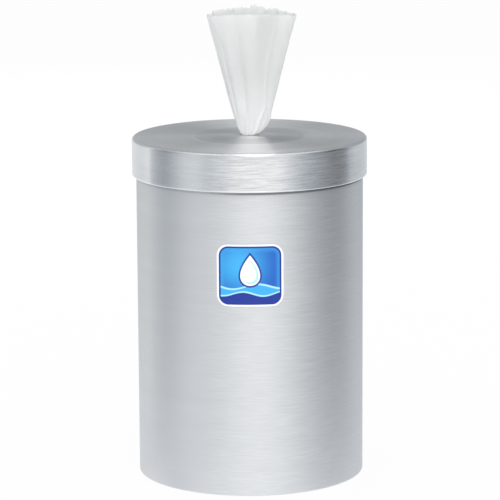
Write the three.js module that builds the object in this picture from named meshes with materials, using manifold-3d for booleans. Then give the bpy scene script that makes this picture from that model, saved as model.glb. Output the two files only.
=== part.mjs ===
import * as THREE from 'three';
import { mergeVertices } from 'three/addons/utils/BufferGeometryUtils.js';
import { ParametricGeometry } from 'three/addons/geometries/ParametricGeometry.js';
import Module from 'manifold-3d';

const wasm = await Module();
wasm.setup();

// A counter-top canister that hands out wet wipes from the middle of its lid.
// Millimetres, +Z up. The origin is the centre of the base, on the surface it stands on.
// The label is on the front, towards -Y.

// Driving dimensions

// Canister body, rolled from brushed sheet
const bodyRadius = 101.5;
const bodyWall = 1;
const rimBeadRadius = 1.5;
const bottomEdgeRadius = 1.4;
const bottomLipWidth = 9.5;

// Base pan and its feet
const baseSheet = 1;
const baseFlangeHeight = 12;
const baseBendRadius = 1.4;
const footCount = 4;
const footRadius = 9;
const footProud = 0.8;
const footInset = 3;
const footChamfer = 0.4;

// Roll of wipes, drawn from its middle
const webWidth = 203;
const rollClearance = 7.5;
const rollCoreRadius = 20;
const rollRidges = 5;
const rollRidgeDepth = 0.7;
const rollEdgeRadius = 2.5;
const headRoom = 93;

// Slip-over lid, drawn from one sheet
const lidSheet = 1;
const skirtHeight = 33;
const skirtClearance = 2.5;
const lidEdgeRadius = 2.4;
const hemHeight = 2.2;
const hemClearance = 0.5;
const hemEdgeRadius = 0.8;
const bossRise = 1.3;
const bossSlopeWidth = 25;
const bossTopWidth = 11;
const collarDrop = 5;
const holeEdgeRadius = 0.9;
const gasketThickness = 2.5;
const gasketWidth = 6.5;

// Soft nozzle on the collar of the lid's hole
const holeClearance = 2.5;
const nozzleWall = 2;
const nozzleMembrane = 1.6;
const membraneClearance = 0.4;
const slitCount = 3;
const slitWidth = 0.8;
const slitMargin = 1.5;
const clipWall = 1.4;
const clipHeight = 3;

// Wipe that stands out of the lid
const strandRadius = 5.5;
const wipeRise = 110.5;
const mouthWidth = 79.6;
const mouthDepth = 33;
const shoulderWidth = 25.4;
const shoulderRise = 5.5;
const wipeFold = 1.6;
const fluteCount = 8;
const fluteDepth = 2.6;
const fluteTwist = 0.5;
const rimSideDrop = 3.7;
const rimTilt = 1.25;
const cupFloorRise = 15;
const wipeLean = 2.4;
const wipePull = 60;
const bendLength = 55;
const bendMargin = 18;
const tailReach = 56;

// Sticker on the front
const labelWidth = 58;
const labelHeight = 55;
const labelDrop = 74;
const labelCorner = 10;
const labelThickness = 0.5;

// Clearances between pieces that touch
const seatGap = 0.3;

// Fineness of round forms
const bodySegments = 64;
const smallSegments = 32;
const footSegments = 20;
const wipeSegments = 48;
const wipeRings = 30;
const edgeSteps = 3;

// Radii that follow from the driving dimensions
const bodyInnerRadius = bodyRadius - bodyWall;
const lipInnerRadius = bodyRadius - bottomLipWidth;
const rollRadius = bodyInnerRadius - rollClearance;
const skirtInnerRadius = bodyRadius + skirtClearance;
const lidRadius = skirtInnerRadius + lidSheet;
const hemInnerRadius = bodyRadius + hemClearance;
const holeRadius = strandRadius + holeClearance;
const collarRadius = holeRadius + lidSheet;
const nozzleInnerRadius = collarRadius + seatGap;
const nozzleRadius = nozzleInnerRadius + nozzleWall;
const clipInnerRadius = nozzleRadius + seatGap;
const clipRadius = clipInnerRadius + clipWall;
const bossTopRadius = clipRadius + bossTopWidth;
const bossRadius = bossTopRadius + bossSlopeWidth;
const gasketRadius = skirtInnerRadius - lidSheet;

// Heights that follow, from the ground up
const lipTop = footProud + bodyWall;
const baseBottom = lipTop + seatGap;
const baseTop = baseBottom + baseSheet;
const rollBottom = baseTop + seatGap;
const rollTop = rollBottom + webWidth;
const nozzleBottom = rollTop + headRoom;
const membraneTop = nozzleBottom + nozzleMembrane;
const collarBottom = membraneTop + seatGap;
const bossUnderside = collarBottom + collarDrop;
const bossTop = bossUnderside + lidSheet;
const lidTop = bossTop - bossRise;
const lidUnderside = lidTop - lidSheet;
const gasketTop = lidUnderside - seatGap;
const gasketBottom = gasketTop - gasketThickness;
const rimTop = gasketBottom - seatGap;
const skirtBottom = lidTop - skirtHeight;
const labelCentre = skirtBottom - labelDrop;
const strandBottom = rollTop - tailReach;
const bendTop = nozzleBottom - wipePull - bendMargin;

// Materials

const material = (color, roughness, metalness) =>
  new THREE.MeshStandardMaterial({ color, roughness, metalness });

const brushedSteel = material('#c3c6ca', 0.32, 1);
const plainSteel = material('#b4b7bb', 0.4, 1);
const foam = material('#3c3e40', 0.9, 0);
const softRubber = material('#2b2c2e', 0.75, 0);
const wipeCloth = material('#e9ebea', 0.95, 0);
const printedFilm = material('#1c5fae', 0.35, 0);

// Helpers

// Points of a round edge about (radius, height), from one angle to another in degrees.
function roundEdge(radius, height, edge, fromDegrees, toDegrees) {
  return Array.from({ length: edgeSteps + 1 }, (_, step) => {
    const degrees = fromDegrees + ((toDegrees - fromDegrees) * step) / edgeSteps;
    const angle = THREE.MathUtils.degToRad(degrees);
    return [radius + edge * Math.cos(angle), height + edge * Math.sin(angle)];
  });
}

// A turned piece. The outline holds [radius, height] pairs, up the outside and down the inside.
function turned(outline, segments) {
  const points = outline.map(([radius, height]) => new THREE.Vector2(radius, height));
  const last = points[points.length - 1];
  if (points[0].x > 0 || last.x > 0) points.push(points[0].clone());
  return new THREE.LatheGeometry(points, segments).rotateX(Math.PI / 2);
}

function toSolid(geometry) {
  const bare = geometry.clone();
  bare.deleteAttribute('normal');
  bare.deleteAttribute('uv');
  const merged = mergeVertices(bare);
  return new wasm.Manifold(new wasm.Mesh({
    numProp: 3,
    vertProperties: Float32Array.from(merged.attributes.position.array),
    triVerts: Uint32Array.from(merged.index.array),
  }));
}

function toGeometry(solid) {
  const { vertProperties, triVerts } = solid.getMesh();
  const geometry = new THREE.BufferGeometry();
  geometry.setAttribute('position', new THREE.BufferAttribute(vertProperties, 3));
  geometry.setIndex(new THREE.BufferAttribute(triVerts, 1));
  geometry.computeVertexNormals();
  return geometry;
}

function piece(name, geometry, finish) {
  const mesh = new THREE.Mesh(geometry, finish);
  mesh.name = name;
  return mesh;
}

// Canister

// A tube whose top edge is rolled inwards into a bead and whose bottom edge turns in as a lip.
function bodyShell() {
  const bead = rimBeadRadius;
  const beadRadius = bodyRadius - bead;
  const bendInside = bottomEdgeRadius - bodyWall;
  return turned([
    [lipInnerRadius, footProud],
    ...roundEdge(bodyRadius - bottomEdgeRadius, footProud + bottomEdgeRadius, bottomEdgeRadius, -90, 0),
    ...roundEdge(beadRadius, rimTop - bead, bead, 0, 180),
    [beadRadius - bead, rimTop - 2 * bead],
    [bodyInnerRadius, rimTop - 2.5 * bead],
    ...roundEdge(bodyRadius - bottomEdgeRadius, footProud + bottomEdgeRadius, bendInside, 0, -90),
    [lipInnerRadius, lipTop],
  ], bodySegments);
}

// A pan that stands on the lip, with its flange turned up against the wall.
function basePlate() {
  const rim = bodyInnerRadius - seatGap;
  const flangeTop = baseBottom + baseFlangeHeight;
  const bend = rim - baseBendRadius;
  return turned([
    [0, baseBottom],
    ...roundEdge(bend, baseBottom + baseBendRadius, baseBendRadius, -90, 0),
    [rim, flangeTop],
    [rim - baseSheet, flangeTop],
    ...roundEdge(bend, baseBottom + baseBendRadius, baseBendRadius - baseSheet, 0, -90),
    [0, baseTop],
  ], bodySegments);
}

function rubberFoot() {
  const top = baseBottom - seatGap;
  return turned([
    [0, 0],
    [footRadius - footChamfer, 0],
    [footRadius, footChamfer],
    [footRadius, top],
    [0, top],
  ], footSegments);
}

function feet() {
  const reach = lipInnerRadius - footInset - footRadius;
  return Array.from({ length: footCount }, (_, index) => {
    const foot = piece(`rubber_foot_${index + 1}`, rubberFoot(), softRubber);
    const angle = (Math.PI / footCount) * (2 * index + 1);
    foot.position.set(reach * Math.cos(angle), reach * Math.sin(angle), 0);
    return foot;
  });
}

// The wound web is one solid. The edges of its turns show as low rings on the upper end.
function wipesRoll() {
  const flat = rollRadius - rollEdgeRadius;
  const ridgeWidth = (flat - rollCoreRadius) / rollRidges;
  const rings = Array.from({ length: rollRidges }, (_, ring) => [
    [flat - ring * ridgeWidth, rollTop],
    [flat - (ring + 0.5) * ridgeWidth, rollTop - rollRidgeDepth],
  ]).flat();
  return turned([
    [rollCoreRadius, rollBottom],
    ...roundEdge(flat, rollBottom + rollEdgeRadius, rollEdgeRadius, -90, 0),
    ...roundEdge(flat, rollTop - rollEdgeRadius, rollEdgeRadius, 0, 90).slice(0, -1),
    ...rings,
    [rollCoreRadius, rollTop],
  ], bodySegments);
}

// A thin film in the shape of a rounded square, laid round the front of the body.
function frontLabel() {
  const back = bodyRadius + seatGap;
  const face = back + labelThickness;
  const low = labelCentre - labelHeight;
  const high = labelCentre + labelHeight;
  const film = turned([[back, low], [face, low], [face, high], [back, high]], bodySegments);
  const halfWidth = labelWidth / 2;
  const halfHeight = labelHeight / 2;
  const straightX = halfWidth - labelCorner;
  const straightY = halfHeight - labelCorner;
  const outline = new THREE.Shape()
    .moveTo(-straightX, -halfHeight)
    .lineTo(straightX, -halfHeight)
    .absarc(straightX, -straightY, labelCorner, -Math.PI / 2, 0)
    .absarc(straightX, straightY, labelCorner, 0, Math.PI / 2)
    .absarc(-straightX, straightY, labelCorner, Math.PI / 2, Math.PI)
    .absarc(-straightX, -straightY, labelCorner, Math.PI, 1.5 * Math.PI);
  const punch = new THREE.ExtrudeGeometry(outline, {
    depth: face, bevelEnabled: false, curveSegments: 6,
  }).rotateX(Math.PI / 2).translate(0, 0, labelCentre);
  return toGeometry(toSolid(film).intersect(toSolid(punch)));
}

// Lid

// One drawn sheet: hemmed skirt, round edge, flat ring, low raised boss and a collar turned down.
function lidShell() {
  const edge = lidRadius - lidEdgeRadius;
  const edgeHeight = lidTop - lidEdgeRadius;
  return turned([
    [hemInnerRadius, skirtBottom],
    ...roundEdge(lidRadius - hemEdgeRadius, skirtBottom + hemEdgeRadius, hemEdgeRadius, -90, 0),
    ...roundEdge(edge, edgeHeight, lidEdgeRadius, 0, 90),
    [bossRadius, lidTop],
    [bossTopRadius, bossTop],
    ...roundEdge(holeRadius + holeEdgeRadius, bossTop - holeEdgeRadius, holeEdgeRadius, 90, 180),
    [holeRadius, collarBottom],
    [collarRadius, collarBottom],
    [collarRadius, bossUnderside],
    [bossTopRadius, bossUnderside],
    [bossRadius, lidUnderside],
    ...roundEdge(edge, edgeHeight, lidEdgeRadius - lidSheet, 90, 0),
    [skirtInnerRadius, skirtBottom + hemHeight],
    [hemInnerRadius, skirtBottom + hemHeight],
  ], bodySegments);
}

// A foam ring glued under the lid, which the rim of the canister seals against.
function lidGasket() {
  const inner = gasketRadius - gasketWidth;
  return turned([
    [inner, gasketBottom],
    [gasketRadius, gasketBottom],
    [gasketRadius, gasketTop],
    [inner, gasketTop],
  ], bodySegments);
}

// A soft cap over the collar. Slits through its membrane let the wipe pass and hold it.
function nozzle() {
  const membraneHole = strandRadius + membraneClearance;
  const cap = toSolid(turned([
    [membraneHole, nozzleBottom],
    [nozzleRadius, nozzleBottom],
    [nozzleRadius, bossUnderside - seatGap],
    [nozzleInnerRadius, bossUnderside - seatGap],
    [nozzleInnerRadius, membraneTop],
    [membraneHole, membraneTop],
  ], smallSegments));
  const slitLength = 2 * (nozzleInnerRadius - slitMargin);
  const slits = Array.from({ length: slitCount }, (_, index) => {
    const slit = new THREE.BoxGeometry(slitLength, slitWidth, 3 * nozzleMembrane);
    slit.rotateZ((Math.PI * index) / slitCount);
    return toSolid(slit.translate(0, 0, nozzleBottom + nozzleMembrane / 2));
  });
  return toGeometry(slits.reduce((body, slit) => body.subtract(slit), cap));
}

// A plain ring that grips the nozzle to the collar.
function nozzleClip() {
  const bottom = collarBottom + seatGap;
  return turned([
    [clipInnerRadius, bottom],
    [clipRadius, bottom],
    [clipRadius, bottom + clipHeight],
    [clipInnerRadius, bottom + clipHeight],
  ], smallSegments);
}

// Wipe

// Half width and half depth of the gathered cloth at a height above the boss.
function gatherSize(rise) {
  const share = Math.max(rise, 0) / wipeRise;
  const opening = 1 - Math.exp(-Math.max(rise, 0) / shoulderRise);
  const halfWidth = (shoulderWidth + (mouthWidth - shoulderWidth) * share) / 2;
  const halfDepth = strandRadius + (mouthDepth / 2 - strandRadius) * share ** 0.7;
  return [strandRadius + (halfWidth - strandRadius) * opening, halfDepth];
}

// The strand runs straight through the nozzle, then leans over to the roll's innermost turn.
function strandShift(height) {
  const share = THREE.MathUtils.smoothstep(bendTop - height, 0, bendLength);
  return share * (rollCoreRadius - strandRadius - seatGap);
}

// A point of the cloth at an angle and a height, with inset measured in from the outer side.
function clothPoint(angle, height, inset, target) {
  const rise = height - bossTop;
  const [halfWidth, halfDepth] = gatherSize(rise);
  const share = THREE.MathUtils.clamp(rise / wipeRise, 0, 1);
  const flute = fluteDepth * share * Math.cos(fluteCount * (angle + fluteTwist * share));
  const lean = wipeLean * THREE.MathUtils.smoothstep(rise, 0, cupFloorRise);
  const slope = share ** 2 * (rimTilt * Math.sin(angle) - rimSideDrop * Math.cos(angle) ** 2);
  target.set(
    lean + strandShift(height) + (halfWidth + flute - inset) * Math.cos(angle),
    (halfDepth + flute - inset) * Math.sin(angle),
    height + slope,
  );
}

// The surface goes up the outside of strand and gather, over the rim and down into the cup.
function wipeSheet() {
  const rimHeight = bossTop + wipeRise;
  const cupFloor = bossTop + cupFloorRise;
  const outerRings = Math.round(wipeRings * 0.7);
  const surface = (u, v, target) => {
    const angle = 2 * Math.PI * u;
    const ring = Math.round(v * wipeRings);
    const bottomPole = ring === 0;
    const topPole = ring === wipeRings;
    if (bottomPole || topPole) {
      const height = bottomPole ? strandBottom : cupFloor;
      const lean = topPole ? wipeLean : 0;
      target.set(lean + strandShift(height), 0, height);
    } else if (ring <= outerRings) {
      const share = (ring - 1) / (outerRings - 1);
      clothPoint(angle, ringHeight(share, strandBottom, rimHeight), 0, target);
    } else {
      const share = (ring - outerRings - 1) / (wipeRings - outerRings - 2);
      clothPoint(angle, rimHeight + share * (cupFloor - rimHeight), wipeFold, target);
    }
  };
  return new ParametricGeometry(surface, wipeSegments, wipeRings);
}

// Heights of the rings on the outside, closer together round the neck.
function ringHeight(share, bottom, top) {
  const neck = 0.6;
  if (share <= neck) return bottom + (bossTop - bottom) * Math.sin((Math.PI / 2) * (share / neck));
  return bossTop + (top - bossTop) * ((share - neck) / (1 - neck)) ** 1.5;
}

const dispenser = new THREE.Group();

const canister = new THREE.Group();
canister.add(
  piece('body_shell', bodyShell(), brushedSteel),
  piece('base_plate', basePlate(), plainSteel),
  ...feet(),
  piece('wipes_roll', wipesRoll(), wipeCloth),
  piece('front_label', frontLabel(), printedFilm),
);

const lid = new THREE.Group();
lid.add(
  piece('lid_shell', lidShell(), brushedSteel),
  piece('lid_gasket', lidGasket(), foam),
  piece('nozzle', nozzle(), softRubber),
  piece('nozzle_clip', nozzleClip(), plainSteel),
);

dispenser.add(canister, lid, piece('wipe_sheet', wipeSheet(), wipeCloth));

export default dispenser;
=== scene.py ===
# %% [markdown]
# # A dispenser for wet wipes
#
# The object is a canister of brushed steel with a slip-over lid. A wipe stands out of the middle
# of the lid, and a roll of wipes sits inside. The solid model already gives every size and place,
# so this file loads it as a fixed frame and makes only what the eye sees.

# %% Load the solid model
import math

import bmesh
import bpy
import numpy as np
from mathutils import Matrix, Vector


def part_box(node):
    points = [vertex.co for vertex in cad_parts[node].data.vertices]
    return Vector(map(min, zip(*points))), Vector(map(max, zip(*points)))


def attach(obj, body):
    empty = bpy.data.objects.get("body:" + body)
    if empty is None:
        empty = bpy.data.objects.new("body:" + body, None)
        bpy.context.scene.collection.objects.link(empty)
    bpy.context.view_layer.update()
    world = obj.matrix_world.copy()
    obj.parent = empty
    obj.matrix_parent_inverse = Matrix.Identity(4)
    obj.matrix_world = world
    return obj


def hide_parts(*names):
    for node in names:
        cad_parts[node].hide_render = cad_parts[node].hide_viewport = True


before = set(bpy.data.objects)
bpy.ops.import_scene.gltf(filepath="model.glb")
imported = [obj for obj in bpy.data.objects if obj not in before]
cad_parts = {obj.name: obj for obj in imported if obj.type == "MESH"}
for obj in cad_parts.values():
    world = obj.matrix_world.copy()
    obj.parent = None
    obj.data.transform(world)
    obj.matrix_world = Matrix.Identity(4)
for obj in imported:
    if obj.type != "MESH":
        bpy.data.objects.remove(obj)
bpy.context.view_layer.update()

MM = 0.001
print("nodes", sorted(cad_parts))

# %% [markdown]
# ## Sizes
#
# A good habit is to read sizes from one place only. Here they come from the boxes of the solids,
# so the finished pieces can't drift away from the construction under them.

# %% Read the sizes that the pieces need
body_low, body_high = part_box("body_shell")
lid_low, lid_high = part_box("lid_shell")
roll_low, roll_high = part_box("wipes_roll")
gasket_low, gasket_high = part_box("lid_gasket")
pan_low, pan_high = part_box("base_plate")
clip_low, clip_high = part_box("nozzle_clip")
label_low, label_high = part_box("front_label")
wipe_low, wipe_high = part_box("wipe_sheet")

body_radius = body_high[0]
lid_radius = lid_high[0]
boss_top = lid_high[2]
rim_top = body_high[2]
# The finished hem reaches a little lower than the lid's solid.
HEM_REACH = 0.9 * MM
skirt_bottom = lid_low[2] - HEM_REACH
print(f"body {2 * body_radius / MM:.0f} mm across, lid {2 * lid_radius / MM:.0f} mm")

# %% [markdown]
# ## Camera
#
# A long lens far away keeps the sides of the canister nearly parallel, as in a catalogue picture.
# The camera stands in front, a little above the lid, and looks slightly down. It is turned by a
# third of a degree about its own axis, because the picture isn't quite level.

# %% Camera
FRAME_PIXELS = 500
FOCAL_PIXELS = 2930.6
SENSOR = 36.0
CAMERA_DISTANCE = 2.5907
CAMERA_HEIGHT = 0.7064
CAMERA_PITCH = math.radians(11.02)
CAMERA_ROLL = math.radians(-0.323)


def add_camera():
    """The lens in millimetres is focal pixels / frame pixels * sensor."""
    data = bpy.data.cameras.new("camera")
    data.sensor_width = SENSOR
    data.lens = FOCAL_PIXELS / FRAME_PIXELS * SENSOR
    camera = bpy.data.objects.new("camera", data)
    bpy.context.scene.collection.objects.link(camera)
    tilt = Matrix.Rotation(math.pi / 2 - CAMERA_PITCH, 4, "X")
    roll = Matrix.Rotation(CAMERA_ROLL, 4, "Z")
    place = Matrix.Translation((0, -CAMERA_DISTANCE, CAMERA_HEIGHT))
    camera.matrix_world = place @ tilt @ roll
    bpy.context.scene.camera = camera
    return camera


camera = add_camera()
bpy.context.scene.view_settings.view_transform = "Standard"
print(f"lens {camera.data.lens:.1f} mm")

# %% [markdown]
# ## Shader maths
#
# Procedural finishes need a lot of arithmetic, and a node for each sum is hard to read. The two
# classes below let a material be written as Python: `Tree.node` adds any node, and the operators
# of `Value` add Math nodes, so `1 - mask * 0.5` becomes two of them.

# %% Shader helpers
class Value:
    """An output socket that can be used in a sum."""

    def __init__(self, tree, socket):
        self.tree = tree
        self.socket = socket

    def __add__(self, other):
        return self.tree.math("ADD", self, other)

    __radd__ = __add__

    def __sub__(self, other):
        return self.tree.math("SUBTRACT", self, other)

    def __rsub__(self, other):
        return self.tree.math("SUBTRACT", other, self)

    def __mul__(self, other):
        return self.tree.math("MULTIPLY", self, other)

    __rmul__ = __mul__

    def __truediv__(self, other):
        return self.tree.math("DIVIDE", self, other)

    def __pow__(self, other):
        return self.tree.math("POWER", self, other)


class Tree:
    """A node tree that is written line by line."""

    def __init__(self, owner):
        owner.use_nodes = True
        self.nodes = owner.node_tree.nodes
        self.links = owner.node_tree.links
        self.nodes.clear()

    def node(self, kind, inputs=None, output=0, stops=None, **settings):
        """Adds a node, sets it up, fills its sockets and returns one of its outputs."""
        made = self.nodes.new(kind)
        for name, setting in settings.items():
            setattr(made, name, setting)
        if stops:
            self.fill_ramp(made.color_ramp, stops)
        for name, value in (inputs or {}).items():
            if isinstance(value, Value):
                self.links.new(value.socket, made.inputs[name])
            else:
                made.inputs[name].default_value = value
        return Value(self, made.outputs[output]) if len(made.outputs) else made

    def feed(self, values):
        """Links values to the sockets of the main shader."""
        for name, value in values.items():
            self.links.new(value.socket, self.shader.inputs[name])

    def fill_ramp(self, ramp, stops):
        while len(ramp.elements) < len(stops):
            ramp.elements.new(1)
        for element, (place, colour) in zip(ramp.elements, stops):
            element.position = place
            element.color = colour if hasattr(colour, "__len__") else (colour, colour, colour, 1)

    def math(self, operation, *values):
        return self.node("ShaderNodeMath", dict(enumerate(values)), operation=operation)

    def most(self, a, b):
        return self.math("MAXIMUM", a, b)

    def least(self, a, b):
        return self.math("MINIMUM", a, b)

    def step(self, value, low, high):
        """0 below low, 1 above high and an S between them."""
        inputs = {"Value": value, "From Min": low, "From Max": high}
        return self.node("ShaderNodeMapRange", inputs, interpolation_type="SMOOTHSTEP")

    def mix(self, share, a, b):
        """A colour between a and b."""
        inputs = {"Factor": share, "A": a, "B": b}
        return self.node("ShaderNodeMix", inputs, "Result", data_type="RGBA")

    def xyz(self, vector):
        return [self.node("ShaderNodeSeparateXYZ", {0: vector}, axis) for axis in range(3)]

    def vector(self, x, y, z):
        return self.node("ShaderNodeCombineXYZ", {0: x, 1: y, 2: z})

    def noise(self, vector, scale, detail=2.0, roughness=0.5):
        inputs = {"Vector": vector, "Scale": scale, "Detail": detail, "Roughness": roughness}
        return self.node("ShaderNodeTexNoise", inputs, "Fac")


print("helpers ready")

# %% [markdown]
# ## Studio
#
# Metal shows what stands round it. A real studio puts a large white card behind the camera, pale
# walls behind the object and darker panels at both sides, which draw the dark bands that make a
# tube look round. The world below is painted by compass direction in the same way, with a pale
# ceiling over it and a bright softbox in front. Straight to the camera it is plain white, and for
# the matt things the walls are softened, as their light comes from everywhere.

# %% World
# Brightness of the studio at angles from the camera's side, in degrees, positive to the right.
WALLS = [
    (-180, 0.75), (-150, 0.84), (-128, 0.84), (-113, 0.97), (-109, 0.54), (-96, 0.33),
    (-88, 0.29), (-80, 0.42), (-65, 0.715), (-52, 0.77), (-42, 0.59), (-27, 0.73),
    (-15, 1.00), (0, 0.975), (15, 1.07), (27, 1.07), (38, 0.77), (51, 0.495), (65, 0.29),
    (79, 0.148), (90, 0.08), (97, 0.093), (104, 0.15), (109, 0.22), (112, 0.475), (126, 0.635),
    (141, 0.64), (161, 0.67), (180, 0.75),
]
DARK_RED = 0.16
DARK_BLUE = 0.17
WALL_SOFTENING = 0.6
BACK_WALL = 0.64
CEILING_LIGHT = 0.95
CEILING_FRONT = 1.3
CEILING_BACK = 0.45
CEILING_TINT = 0.9
SOFTBOX = 1.1
WHITE = (1, 1, 1, 1)
# Where each of them begins and is full, in a direction of length 1: away is y, forward is -y, and
# foot and head are z.
BACK_WALL_AWAY = (0.3, 0.8)
BACK_WALL_FOOT = (0.0, 0.10)
CEILING_FORWARD = (-0.5, 0.0)
CEILING_FOOT = (0.35, 0.85)
SOFTBOX_FORWARD = (0.4, 0.7)
SOFTBOX_FOOT = (0.25, 0.4)
SOFTBOX_HEAD = (0.75, 0.85)


def wall_colour(bright):
    """The darker a wall, the bluer: red goes down and blue goes up with 1 - brightness."""
    dark = max(1 - bright, 0)
    return (bright * (1 - DARK_RED * dark), bright, bright * (1 + DARK_BLUE * dark), 1)


def walls_towards(tree, x, y):
    """The colour of the walls in the compass direction of a point or ray."""
    turn = tree.math("ARCTAN2", x, 0 - y) / (2 * math.pi) + 0.5
    stops = [((angle + 180) / 360, wall_colour(bright)) for angle, bright in WALLS]
    return tree.node("ShaderNodeValToRGB", {0: turn}, stops=stops)


def seen_through(tree):
    """1 for the rays that see the studio directly, in a mirror or through glass."""
    names = ("Is Camera Ray", "Is Glossy Ray", "Is Transmission Ray")
    return [tree.node("ShaderNodeLightPath", output=name) for name in names]


def studio_world():
    """The light from a direction (x, y, z).

    level = wall + (ceiling - wall) * above, and in mirrors it then goes to the softbox by its mask.
    """
    world = bpy.data.worlds.new("studio")
    bpy.context.scene.world = world
    tree = Tree(world)
    x, y, z = tree.xyz(tree.node("ShaderNodeTexCoord", output="Generated"))
    forward = 0 - y
    seen, mirrored, through = seen_through(tree)
    wall_colours = tree.mix(WALL_SOFTENING * (1 - mirrored), walls_towards(tree, x, y), WHITE)
    behind = tree.step(y, *BACK_WALL_AWAY) * tree.step(z, *BACK_WALL_FOOT)
    wall = 1 - (1 - BACK_WALL) * behind
    shine = CEILING_BACK + (CEILING_FRONT - CEILING_BACK) * tree.step(forward, *CEILING_FORWARD)
    ceiling = CEILING_LIGHT + (shine - CEILING_LIGHT) * mirrored
    above = tree.step(z, *CEILING_FOOT)
    box = tree.step(forward, *SOFTBOX_FORWARD) * tree.step(z, *SOFTBOX_FOOT)
    box = box * (1 - tree.step(z, *SOFTBOX_HEAD))
    level = wall + (ceiling - wall) * above
    level = level + (SOFTBOX - level) * box * mirrored
    colour = tree.mix(tree.most(above, box), wall_colours, wall_colour(CEILING_TINT))
    plain = tree.most(seen, through)
    colour = tree.mix(plain, colour, WHITE)
    strength = tree.most(plain, level)
    background = tree.node("ShaderNodeBackground", {"Color": colour, "Strength": strength})
    tree.node("ShaderNodeOutputWorld", {"Surface": background})


studio_world()
print(f"{len(WALLS)} wall angles")

# %% [markdown]
# The floor is a wide pale sheet. It is lit like the rest, so the canister's shadow stays on it,
# and a large share of plain white is added where the camera sees it. In the metal it shows a
# painted colour: painted shade by compass direction, as if the side panels stood on it, so that far
# from the canister it has the brightness of the wall behind it, and close to the canister a painted
# pool of light, a cool white a little over 1.

# %% Floor
FLOOR_HALF = 15.0
FLOOR_WHITE = 0.94
FLOOR_FADE = 0.85
# Painted pool of light close to the canister, as the metal sees the floor.
FLOOR_NEAR = (1.13, 1.15, 1.19, 1)
FLOOR_PAPER = (0.9, 0.9, 0.9, 1)


def studio_floor():
    """In the metal, its colour is wall + (near - wall) * exp(-distance / fade)."""
    h = FLOOR_HALF
    mesh = bpy.data.meshes.new("floor")
    mesh.from_pydata([(-h, -h, 0), (h, -h, 0), (h, h, 0), (-h, h, 0)], [], [(0, 1, 2, 3)])
    floor = bpy.data.objects.new("floor", mesh)
    bpy.context.scene.collection.objects.link(floor)
    paper = bpy.data.materials.new("floor_paper")
    mesh.materials.append(paper)
    tree = Tree(paper)
    x, y, _ = tree.xyz(tree.node("ShaderNodeTexCoord", output="Object"))
    distance = tree.math("SQRT", x * x + y * y)
    near = tree.math("EXPONENT", distance / -FLOOR_FADE)
    bright = tree.mix(near, walls_towards(tree, x, y), FLOOR_NEAR)
    seen, mirrored, through = seen_through(tree)
    colour = tree.mix(mirrored, WHITE, bright)
    matt = tree.node("ShaderNodeBsdfDiffuse", {"Color": FLOOR_PAPER})
    white = tree.node("ShaderNodeEmission", {"Color": colour, "Strength": 1.0})
    share = FLOOR_WHITE * tree.most(seen, tree.most(mirrored, through))
    surface = tree.node("ShaderNodeMixShader", {0: share, 1: matt, 2: white})
    tree.node("ShaderNodeOutputMaterial", {"Surface": surface})


studio_floor()
print(f"floor {2 * FLOOR_HALF:.0f} m wide")

# %% [markdown]
# Three large soft lamps light the matt things: the wipe, the sticker and the rubber. The key and
# the fill stand in front and behind, and the third hangs overhead. They are hidden from mirror
# rays, because the metal already has its own picture of the studio. Two more are only for the
# metal, where they draw the bright line along the lid's front edge.

# %% Lamps
LAMPS = {
    "key": dict(place=(0.35, -2.6, 0.75), size=1.2, watts=22.0),
    "fill": dict(place=(-0.6, 2.4, 1.2), size=1.2, watts=14.0),
    "overhead": dict(place=(0.0, -0.4, 2.4), size=1.6, watts=2.0),
    "highlight": dict(place=(0.25, -2.3, 1.9), size=1.1, watts=5.5, for_metal=True),
    "rim_light": dict(place=(0.1, -0.35, 2.3), size=0.8, watts=5.0, for_metal=True),
}
LAMP_TARGET = (0.0, 0.0, 0.3)


def add_lamp(name, place, size, watts, for_metal=False):
    """A square lamp that faces the target, for the metal alone or for the matt things alone."""
    data = bpy.data.lights.new(name, "AREA")
    data.shape = "SQUARE"
    data.size = size
    data.energy = watts
    lamp = bpy.data.objects.new(name, data)
    bpy.context.scene.collection.objects.link(lamp)
    away = Vector(place) - Vector(LAMP_TARGET)
    lamp.location = place
    lamp.rotation_euler = away.to_track_quat("Z", "Y").to_euler()
    lamp.visible_glossy = for_metal
    lamp.visible_diffuse = not for_metal


for name, lamp in LAMPS.items():
    add_lamp(name, **lamp)
print("lamps", list(LAMPS))

# %% [markdown]
# ## Brushed steel
#
# Brushing leaves fine grooves that run round the tube and round the lid. Grooves scatter light
# across themselves, so a highlight stretches at right angles to them. The Principled shader does
# this with its Anisotropic value. Its own tangent runs round the Z axis, and a quarter turn makes
# the highlight cross the grooves. The grooves themselves are noise that is long round the axis and
# very short across, in three widths.

# %% Brushed steel
# Fine, middle and broad grooves: noise per metre along and across, its detail and its roughness.
GROOVES = [(60, 2600, 2.0, 0.6), (50, 1050, 3.0, 0.62), (9, 90, 2.0, 0.5)]
BROAD_STREAKS = 0.22
MIDDLE_ROUGHNESS = 0.16
FINE_ROUGHNESS = 0.1
FINE_HEIGHT = 0.5
GROOVE_BUMP = 0.075
GROOVE_DEPTH = 0.6 * MM
QUARTER_TURN = 0.25


def principled(name, **constants):
    """A material with one Principled shader, and the tree to write its varying sockets in."""
    material = bpy.data.materials.new(name)
    tree = Tree(material)
    values = {key.replace("_", " "): value for key, value in constants.items()}
    shader = tree.node("ShaderNodeBsdfPrincipled", values)
    tree.node("ShaderNodeOutputMaterial", {"Surface": shader})
    tree.shader = shader.socket.node
    return material, tree


def grooves(tree, x, y, across, along_scale, across_scale, detail, roughness):
    """Noise that is stretched along the grooves, which run round the axis."""
    place = tree.vector(x * along_scale, y * along_scale, across * across_scale)
    return tree.noise(place, 1.0, detail, roughness)


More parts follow.
